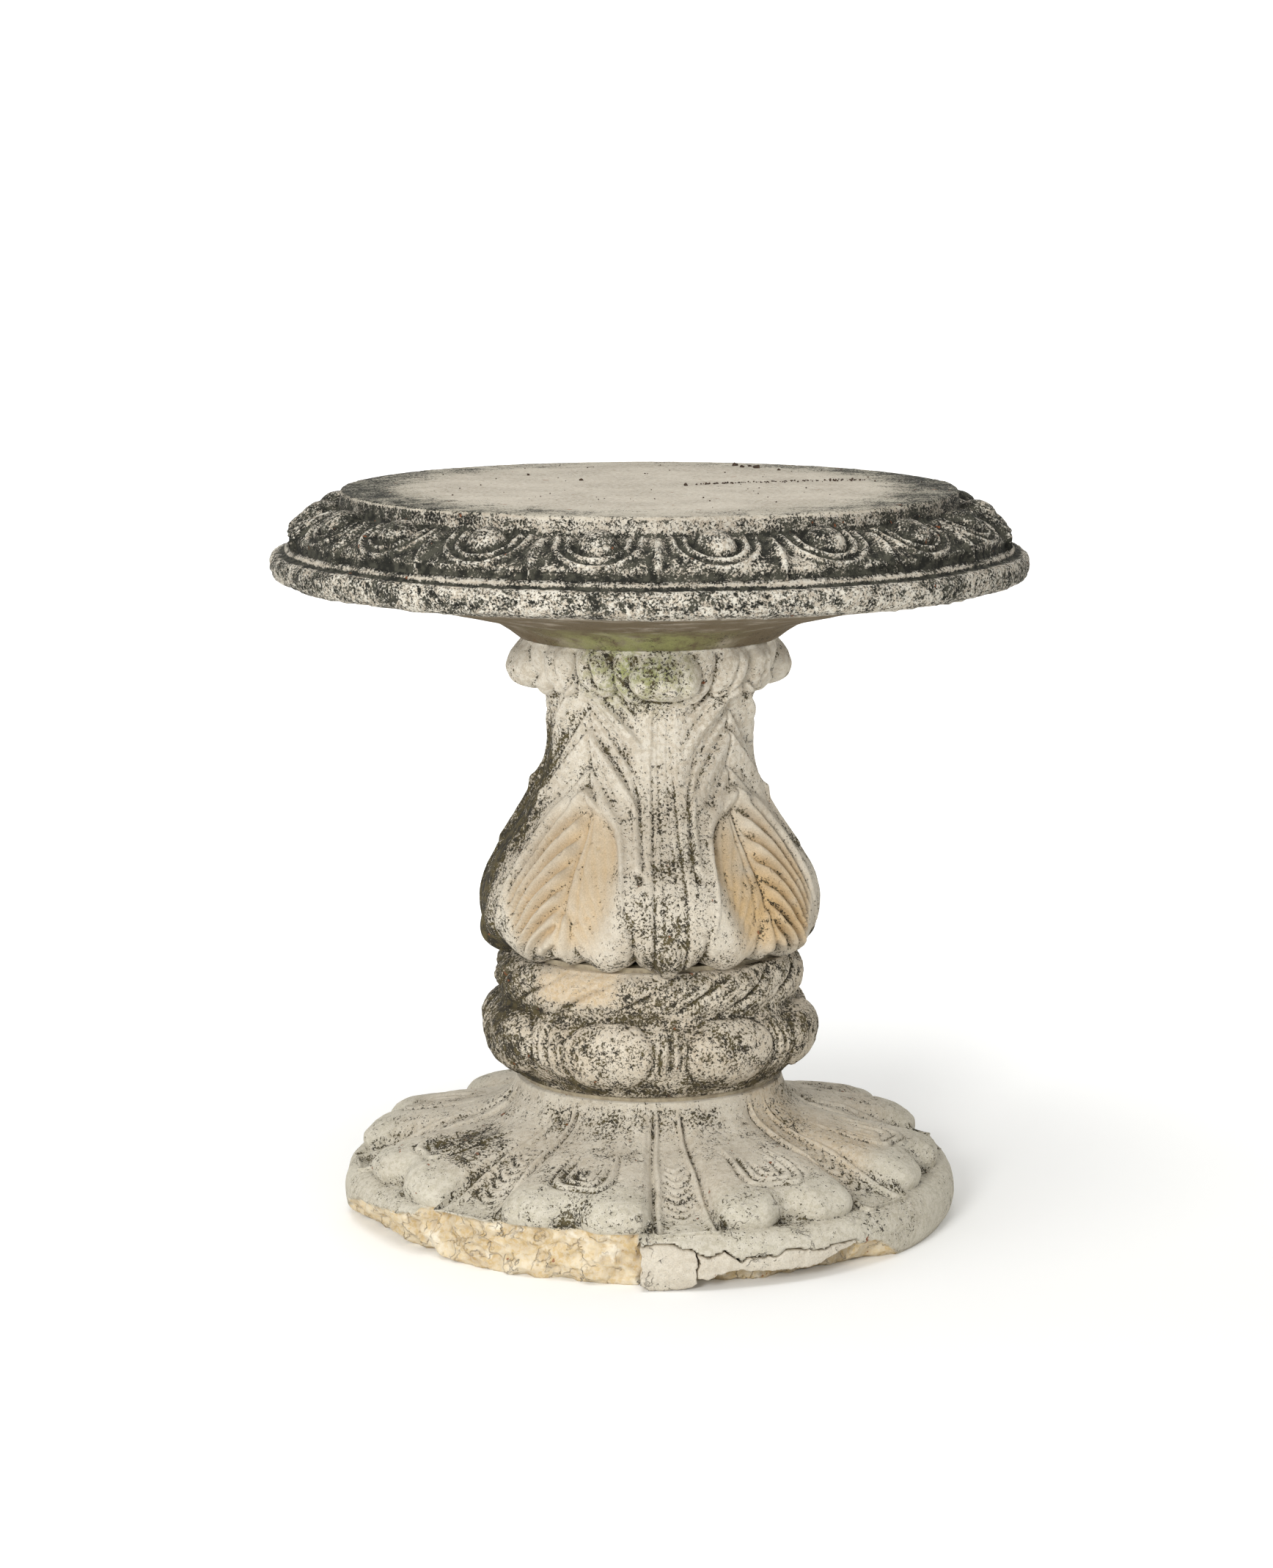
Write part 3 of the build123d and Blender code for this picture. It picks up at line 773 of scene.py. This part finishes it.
foot = casting("foot_stone", foot_profile(), PETALS, 92, petal, foot_mask, 22.5,
               {"Wander": 0.008, "Wear depth": 0.0015, "Wear size": 0.012, "Pit depth": 0.0012,
                "Pit size": 0.007, "Seed": 21.0}, STONE, datum=0.0)

# ---- the broken plinth ----

# Level of the break's upper edge at each angle from the front. Above EDGE_GONE the whole edge is gone.
BREAK_LINE = [
    (-96, -2), (-90, 7), (-84, 19), (-78, 26), (-72, 29), (-65, 32), (-60, 34), (-56.5, 36), (-54.5, 50),
    (-9.2, 50), (-9.0, 36), (-4.5, 38), (0, 33), (3.3, 26.4), (6.4, 30.2), (9.4, 22.8), (10.5, 25.3), (16, 23.3),
    (17.8, 27.6), (25, 23.4), (28.3, 25.4), (32.6, 26.7), (34, 21), (37.5, 20.5), (41, 16), (44, 6), (47, -2),
]
# Level of each loose piece's lower edge.
SHARD_FLOOR = {
    "plinth_shard_front": [(-8.6, 4), (-7.4, 0.6), (-4, 0.1), (0, 1.5), (1.2, 5)],
    "plinth_shard_side": [
        (1.6, 10.5), (3.5, 9.2), (5, 12.6), (9, 16.2), (11, 13.8), (17.5, 12), (22, 11), (25, 12.6), (27.5, 16.8),
        (29.5, 20), (33, 23),
    ],
}
EDGE_GONE = 43           # just over the plinth's height
BREAK_RIGHT = -9.2       # angle where the open break ends and the loose pieces begin
PIECES_RIGHT = 33.4      # angle where the loose pieces end
CORE_R = 230.5           # face of the sound stone behind the break
CUT_R = 250.0            # where the ragged edges are laid out


def stone_noise(points, size, seed, octaves=4):
    """Fractal noise of about -1 to 1 at each point, with features of the given size in millimetres."""
    shift = Vector((seed * 7.3, seed * 3.1, seed * 5.7))
    return np.array([noise.fractal(Vector(p) / size + shift, 0.7, 2.0, octaves) for p in points])


def on_ring(angle, radius, level):
    t = np.radians(angle)
    return np.stack([radius * np.sin(t), -radius * np.cos(t), level], -1)


def break_line(angle):
    """Upper edge of the break at each angle, made ragged."""
    level = np.interp(angle, *zip(*BREAK_LINE))
    jag = stone_noise(on_ring(angle, CUT_R, np.zeros_like(angle)), 9, 2)
    return level + 1.6 * jag * (level < 45)


def broken_face(angle, level, line):
    """Radius of the broken stone: lumps, flakes and a deep crack.

    Where part of the edge is left above the break, the face slopes in below it."""
    at = on_ring(angle, CORE_R, level)
    lumps = stone_noise(at * [1, 1, 1.5], 34, 3, 3)
    flakes = stone_noise(at, 11, 8, 4)
    scoops = np.abs(stone_noise(at * [1, 1, 1.6], 26, 5, 2))
    crack = bump(angle + 58.5 + (level - 20) * 0.08, 0, 1.5) * smooth(level, 4, 14)
    tongue = dome(((angle + 18.5) / 5.5) ** 2 + ((level - 17) / 15) ** 2)
    hole = dome(((angle + 26) / 1.3) ** 2 + ((level - 9) / 5) ** 2)
    base = np.where(line > EDGE_GONE, CORE_R, np.clip(249 - 0.75 * (line - level), CORE_R - 8, None))
    face = base + 5.5 * lumps + 1.2 * flakes - 9.0 * scoops + 2.5 - 10 * crack + 6.5 * tongue - 7 * hole
    return face - 4 * (1 - smooth(level, 0, 5))


def break_plinth():
    """Pushes the foot's edge in to the break. Returns how much bare core shows at each point."""
    co, r, theta = places(foot)
    down = values(foot, "rim")
    near = np.nonzero((down >= 0) & (down <= 1) & (theta > -97) & (theta < 50))[0]
    angle, level, share = theta[near], co[near, 2], down[near]
    line = break_line(angle)
    gone = level < line
    level = np.where(line > EDGE_GONE, PLINTH_H * (1 - share), level)
    face = broken_face(angle, level, line)
    hidden = (angle > BREAK_RIGHT) & (angle < PIECES_RIGHT)
    face = np.where(hidden, np.minimum(face, CORE_R - 1.5), np.minimum(face, r[near] + 1))
    co[near[gone]] = on_ring(angle, face, level)[gone]
    move_points(foot, co)
    bare = np.zeros(len(co))
    bare[near[gone]] = 1
    bare[(down == 2) & (r > 150)] = 0.6
    return bare


def make_shard(name, columns):
    """A loose piece of plinth edge: outside face, ragged edges and a rough inner face."""
    floor_line = SHARD_FLOOR[name]
    levels = 20
    angle = np.linspace(floor_line[0][0], floor_line[-1][0], columns)
    low = np.interp(angle, *zip(*floor_line)) + stone_noise(on_ring(angle, CUT_R, angle * 0), 4, 9)
    top = np.maximum(break_line(angle) - 0.9, low + 1.5)
    share = np.linspace(1, 0, levels)[:, None]
    level = low + (top - low) * share
    a = np.repeat(angle[None], levels, 0)
    jag = stone_noise(on_ring(a.ravel(), CUT_R, level.ravel()), 6, 4).reshape(a.shape)
    a = a + np.where((a == a[:, :1]) | (a == a[:, -1:]), 0.35 * jag, 0)
    edge = np.array(PLINTH_EDGE)
    outer = np.interp(level, edge[1:, 1][::-1], edge[1:, 0][::-1])
    pits = stone_noise(on_ring(a.ravel(), outer.ravel(), level.ravel()), 9, 7).reshape(level.shape)
    rounded = 1.4 * (bump(share, 1, 0.07) + bump(share, 0, 0.07))
    outer = outer + 0.5 * pits - rounded
    inner = np.full_like(outer, CORE_R + 2.0) + 0.8 * pits
    sides = [on_ring(a.ravel(), radius.ravel(), level.ravel()) for radius in (outer, inner)]
    half = levels * columns
    front = np.array(grid_faces(levels, columns))
    # The rim joins the outer face's border to the inner face's.
    at = np.arange(half).reshape(levels, columns)
    border = np.concatenate([at[0, :-1], at[:-1, -1], at[-1, :0:-1], at[:0:-1, 0]])
    after = np.roll(border, -1)
    rim = np.stack([border, after, half + after, half + border], -1)
    faces = np.vstack([front, half + front[:, ::-1], rim]).tolist()
    made = mesh_object(name + "_stone", np.vstack(sides), faces)
    mesh = bmesh.new()
    mesh.from_mesh(made.data)
    bmesh.ops.recalc_face_normals(mesh, faces=mesh.faces)
    mesh.to_mesh(made.data)
    mesh.free()
    made.data.materials.append(STONE)
    made.data.shade_smooth()
    inside = np.arange(2 * half) >= half
    paint(made, lichen=0.12, chalk=0.25, warm=0.0, green=0.0, tint=0.10, core=inside * 1.0, crack=0.8)
    return made


def mould_seam(obj):
    """Raises the thin line that the joint of a two-part mould leaves down a casting."""
    co, _, theta = places(obj)
    lift = 0.9 * bump(theta, SEAM, 0.8) * np.clip(values(obj, "wear"), 0, 1)
    move_points(obj, co + lift[:, None] * normals(obj))


mould_seam(foot)
core = break_plinth()
shard_front = make_shard("plinth_shard_front", 44)
shard_side = make_shard("plinth_shard_side", 120)

# ---- crumbs of soil on the top ----


def crumb_tree():
    """Small lumps of soil on given points, each turned at random by the seed and sized by its point's size."""
    tree = bpy.data.node_groups.new("crumbs", "GeometryNodeTree")
    face = tree.interface
    for name, kind in (("Geometry", "Geometry"), ("Crumb size", "Float"), ("Seed", "Int"), ("Soil", "Material")):
        face.new_socket(name, in_out="INPUT", socket_type="NodeSocket" + kind)
    face.new_socket("Geometry", in_out="OUTPUT", socket_type="NodeSocketGeometry")
    given = tree.nodes.new("NodeGroupInput").outputs
    lump = add(tree, "GeometryNodeMeshIcoSphere", {"Radius": given["Crumb size"], "Subdivisions": 2})
    rough = add(tree, "ShaderNodeTexNoise", {"Scale": 260.0, "Detail": 2.0})
    shift = add(tree, "ShaderNodeVectorMath", {0: rough.outputs["Color"], 1: (-0.5, -0.5, -0.5)}, operation="ADD")
    grow = add(tree, "ShaderNodeVectorMath", {0: shift.outputs[0], "Scale": 0.004}, operation="SCALE")
    crumpled = add(tree, "GeometryNodeSetPosition", {"Geometry": lump.outputs[0], "Offset": grow.outputs[0]})
    size = add(tree, "GeometryNodeInputNamedAttribute", {"Name": "size"}, data_type="FLOAT")
    spin = add(tree, "FunctionNodeRandomValue", {"Max": (6.28, 6.28, 6.28), "Seed": given["Seed"]},
               data_type="FLOAT_VECTOR")
    placed = add(tree, "GeometryNodeInstanceOnPoints", {
        "Points": given["Geometry"], "Instance": crumpled.outputs[0], "Rotation": spin.outputs[0],
        "Scale": size.outputs[0],
    })
    real = add(tree, "GeometryNodeRealizeInstances", {"Geometry": placed.outputs[0]})
    finished = add(tree, "GeometryNodeSetMaterial", {"Geometry": real.outputs[0], "Material": given["Soil"]})
    out = tree.nodes.new("NodeGroupOutput")
    tree.links.new(finished.outputs[0], out.inputs[0])
    return tree


# Dry soil and leaf mould: dark brown crumbs.
SOIL = plain_material("dry_soil", "#2b2119", "#4a392a", 0.003, 1.0, bite=0.0006)


def make_crumbs():
    """Crumbs by angle, radius and size: a few lumps, a smear of fine soil and scattered dust."""
    chance = np.random.default_rng(12)
    spots = [(153, 217, 1.5), (150, 205, 1.1), (149, 215, 0.9), (146, 204, 1.8), (-144, 82, 1.0),
             (106, 32, 1.1), (-144, 149, 0.8), (138, 193, 0.9)]
    smear = [(a + chance.normal(0, 1.6), r + chance.normal(0, 3), chance.uniform(0.15, 0.6))
             for a, r in zip(np.linspace(112, 102, 110), np.linspace(45, 190, 110))]
    dust = [(chance.uniform(0, 360), 235 * chance.uniform(0, 1) ** 0.5, chance.uniform(0.12, 0.42))
            for _ in range(70)]
    spots = np.array(spots + smear + dust)
    points = on_ring(spots[:, 0], spots[:, 1], np.full(len(spots), TOP_Z + DATUM + 0.25))
    source = mesh_object("crumb_points", points, [], {"size": spots[:, 2]})
    modifier = source.modifiers.new("crumbs", "NODES")
    modifier.node_group = crumb_tree()
    set_inputs(modifier, {"Crumb size": 0.0017, "Seed": 3, "Soil": SOIL})
    return baked(source, "soil_crumbs")


crumbs = make_crumbs()

# ---- weather ----


def weather_basin():
    """Black crust in the moulding and round the rim of the top, pale lip, brown and green underside, with painted
    shade in the moulding's recesses, in the gutter and over the underside.
    """
    co, r, theta = places(basin)
    z = co[:, 2] - DATUM
    low = hollows(basin)
    sides = np.abs(np.sin(np.radians(theta)))
    top = smooth(z, TOP_Z - 2, TOP_Z - 0.6) * (r < TOP_R)
    ring = smooth(r, 165, 235) * (0.35 + 0.65 * sides ** 1.5)
    moulding = band(z, GUTTER_Z, GUTTER_Z + 7, 574, 579) * (r > 250)
    fascia = band(z, 574, 578, 586, 590) * (r > 246)
    lip = (1 - smooth(z, GUTTER_Z, GUTTER_Z + 3)) * smooth(r, 288, 296)
    under = (r < 292) * (z < 518)
    front = smooth(50 - np.abs(theta + 12), 0, 40)
    # The hollows terms paint shade into the recesses of the moulding and lip, through the lichen.
    lichen = moulding * (0.60 + 0.20 * sides + np.clip(low * 0.21, -0.22, 0.26))
    lichen += fascia * (0.47 + 0.22 * sides)
    lichen += lip * (0.66 + 0.06 * sides + np.clip(low * 0.4, -0.2, 0.5))
    lichen += top * (0.08 + ring * 0.62) + under * 0.16
    # Painted shadow in the gutter: dark specks along the foot of the moulding.
    lichen += moulding * (1 - smooth(z, GUTTER_Z + 3, GUTTER_Z + 13)) * 0.25
    chalk = moulding * np.clip(0.45 - low * 0.35, 0, 1)
    chalk += lip * 0.8 + fascia * 0.55 + top * (1 - ring) * 0.5
    # The underside's warm layer takes the basin stone's dark taupe: its brown colour painted darker as shade under
    # the overhang. The under term in the lichen adds to that shade.
    paint(basin, lichen=lichen, chalk=chalk, warm=under * 0.95, tint=top * ring * 0.6, core=0, crack=0,
          green=0.75 * under * smooth(165 - r, 0, 50) * front)


def weather_shaft():
    """Ochre in the leaves, lichen in the channel and on the left, algae at the front of the neck, and painted
    shade in recesses, in the flute grooves and over the right leaf's hollow.
    """
    co, _, theta = places(shaft)
    z = co[:, 2] - DATUM
    low = hollows(shaft)
    hollow = values(shaft, "hollow")
    gap = values(shaft, "gap")
    left = smooth(-theta, 50, 85)
    right = smooth(theta, 65, 100)
    right_leaf = smooth(theta, 0, 30)
    channel = 1 - smooth(gap, 0.05, 0.60)
    bulb = 1 - smooth(z, 300, 390)
    lichen = 0.22 + 0.20 * channel * bulb + (0.42 * left + 0.15 * right) * (1 - smooth(z, 380, 440))
    # The hollows term adds painted shade in recesses.
    lichen += 0.10 * channel + 0.26 * (1 - smooth(z, 218, 236)) + np.clip(low * 0.22, -0.10, 0.30)
    # The right leaf's hollow keeps more dark specks and gets more on its right, and the flute grooves get dark
    # specks and a darker warm stain: partly dirt, partly painted shade.
    lichen *= 1 - (0.8 - 0.3 * right_leaf) * hollow
    lichen += 0.22 * hollow * np.clip(low, 0, 1) + 0.10 * hollow * smooth(theta, 36, 55)
    damp = smooth(z, 405, 455) * smooth(34 - np.abs(theta + 14), 0, 26)
    lichen += 0.24 * damp
    strong = 0.46 + 0.50 * right_leaf * smooth(-z, -330, -250)
    paint(shaft, lichen=lichen, warm=hollow * (strong + 0.25 * np.clip(low, -1, 1)) + 0.04, green=damp,
          chalk=(0.3 + 0.35 * smooth(z, 330, 390)) * (1 - hollow), tint=0.04, core=0, crack=0)


def weather_collar():
    """Lichen all over but for one bare ochre patch on the rope, with painted shade added in the recesses."""
    co, _, theta = places(collar)
    z = co[:, 2] - DATUM
    low = hollows(collar)
    patch = smooth(20 - np.abs(theta + 36), 0, 10) * smooth(z, 182, 190)
    rope = smooth(z, 170, 178)
    # The hollows term adds painted shade in recesses.
    lichen = 0.50 + 0.02 * rope + np.clip(low * 0.18, -0.14, 0.32) + 0.25 * smooth(-theta, 40, 80)
    lichen = lichen * (1 - 0.8 * patch) + 0.25 * (1 - smooth(z, 112, 128))
    paint(collar, lichen=lichen, warm=patch * 0.45 + 0.16, green=0, chalk=0.28, tint=0.06, core=0, crack=0)


def weather_foot():
    """Lichen and painted shade in the grooves, lichen on two petals, a warm stain at the right, hair cracks by the
    break.
    """
    _, r, theta = places(foot)
    low = hollows(foot)
    near_neck = 1 - smooth(r, 112, 140)
    # The hollows term adds painted shade in the grooves.
    lichen = 0.27 + 0.06 * near_neck + np.clip(low * 0.24, -0.12, 0.26) + 0.22 * bump(theta, SEAM, 0.7)
    lichen += 0.42 * smooth(16 - np.abs(theta + 62), 0, 10) * band(r, 140, 165, 195, 212)
    lichen += 0.14 * smooth(12 - np.abs(theta + 22), 0, 8) * smooth(r, 165, 185)
    warm = 0.05 + 0.35 * band(theta, 30, 45, 60, 80) * (1 - smooth(r, 190, 215))
    cracked = smooth(r, 200, 225) * band(theta, -80, -60, 20, 45)
    paint(foot, lichen=lichen * (1 - core), warm=warm, green=0, chalk=0.35,
          tint=0.15 + 0.35 * smooth(r, 190, 225), core=core, crack=cracked)


weather_basin()
weather_shaft()
weather_collar()
weather_foot()

for made, body, slot, node in (
    (basin, "basin", "weathered_stone", "basin"),
    (shaft, "pedestal", "cast_stone", "shaft"),
    (collar, "pedestal", "cast_stone", "collar"),
    (foot, "pedestal", "cast_stone", "foot"),
    (shard_front, "pedestal", "cast_stone", "plinth_shard_front"),
    (shard_side, "pedestal", "cast_stone", "plinth_shard_side"),
    (crumbs, "basin", "weathered_stone", None),
):
    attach(made, body)
    if node:
        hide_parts(node)

# ---- camera, light and floor ----

CAMERA_TURN = -7.0       # degrees from the front
CAMERA_FAR = 3.0         # metres from the axis
CAMERA_UP = 0.8695
CAMERA_DOWN = 9.72       # degrees below level
CAMERA_ASIDE = -0.0105

scene = bpy.context.scene
camera = bpy.data.objects.new("camera", bpy.data.cameras.new("camera"))
scene.collection.objects.link(camera)
camera.data.lens = 85
camera.data.sensor_width = 36
turn = math.radians(CAMERA_TURN)
across = Vector((math.cos(turn), math.sin(turn), 0))
back = Vector((math.sin(turn), -math.cos(turn), 0))
camera.location = back * CAMERA_FAR + across * CAMERA_ASIDE + Vector((0, 0, CAMERA_UP))
camera.rotation_euler = (math.radians(90 - CAMERA_DOWN), 0, turn)
scene.camera = camera


def soft_light(name, place, aim, size, power):
    lamp = bpy.data.lights.new(name, "AREA")
    lamp.shape = "DISK"
    lamp.size = size
    lamp.energy = power
    made = bpy.data.objects.new(name, lamp)
    scene.collection.objects.link(made)
    made.location = place
    made.rotation_euler = (Vector(aim) - Vector(place)).to_track_quat("-Z", "Y").to_euler()


soft_light("key", (-1.25, -2.75, 1.25), (0, 0, 0.3), 0.8, 58)
soft_light("fill", (-0.6, -1.2, 3.2), (0, 0, 0.3), 1.6, 30)

world = bpy.data.worlds.new("studio")
scene.world = world
world.use_nodes = True
daylight = world.node_tree.nodes["Background"].inputs
daylight["Color"].default_value = (1, 1, 1, 1)
daylight["Strength"].default_value = 0.60

# Matt white paper sweep with a painted glow, an emission that grows towards the back where it rises, in place of
# light from behind, so that it ends in plain white.
paper, paper_tree, here = new_material("white_paper_sweep")
distance = add(paper_tree, "ShaderNodeSeparateXYZ", {0: here}).outputs["Y"]
glow = add(paper_tree, "ShaderNodeMapRange",
           {"Value": distance, "From Min": -0.6, "From Max": 1.6, "To Max": 0.42}, interpolation_type="SMOOTHSTEP")
surface(paper_tree, {"Base Color": colour("#f6f6f4"), "Roughness": 0.9, "Emission Color": colour("#ffffff"),
                     "Emission Strength": glow.outputs[0]})
BEND_Y, BEND_R = 2.5, 1.5     # where the paper starts to rise, and its bend
sweep = [(-6.0, 0.0), (BEND_Y, 0.0)]
for t in np.linspace(0, math.pi / 2, 12)[1:]:
    sweep.append((BEND_Y + BEND_R * math.sin(t), BEND_R - BEND_R * math.cos(t)))
sweep.append((4.0, 6.0))
points = [(x, y, z) for y, z in sweep for x in (-8.0, 8.0)]
faces = [(2 * i, 2 * i + 1, 2 * i + 3, 2 * i + 2) for i in range(len(sweep) - 1)]
floor_mesh = bpy.data.meshes.new("floor")
floor_mesh.from_pydata(points, [], faces)
floor_mesh.materials.append(paper)
floor_mesh.shade_smooth()
floor = bpy.data.objects.new("floor", floor_mesh)
scene.collection.objects.link(floor)

scene.view_settings.view_transform = "Standard"
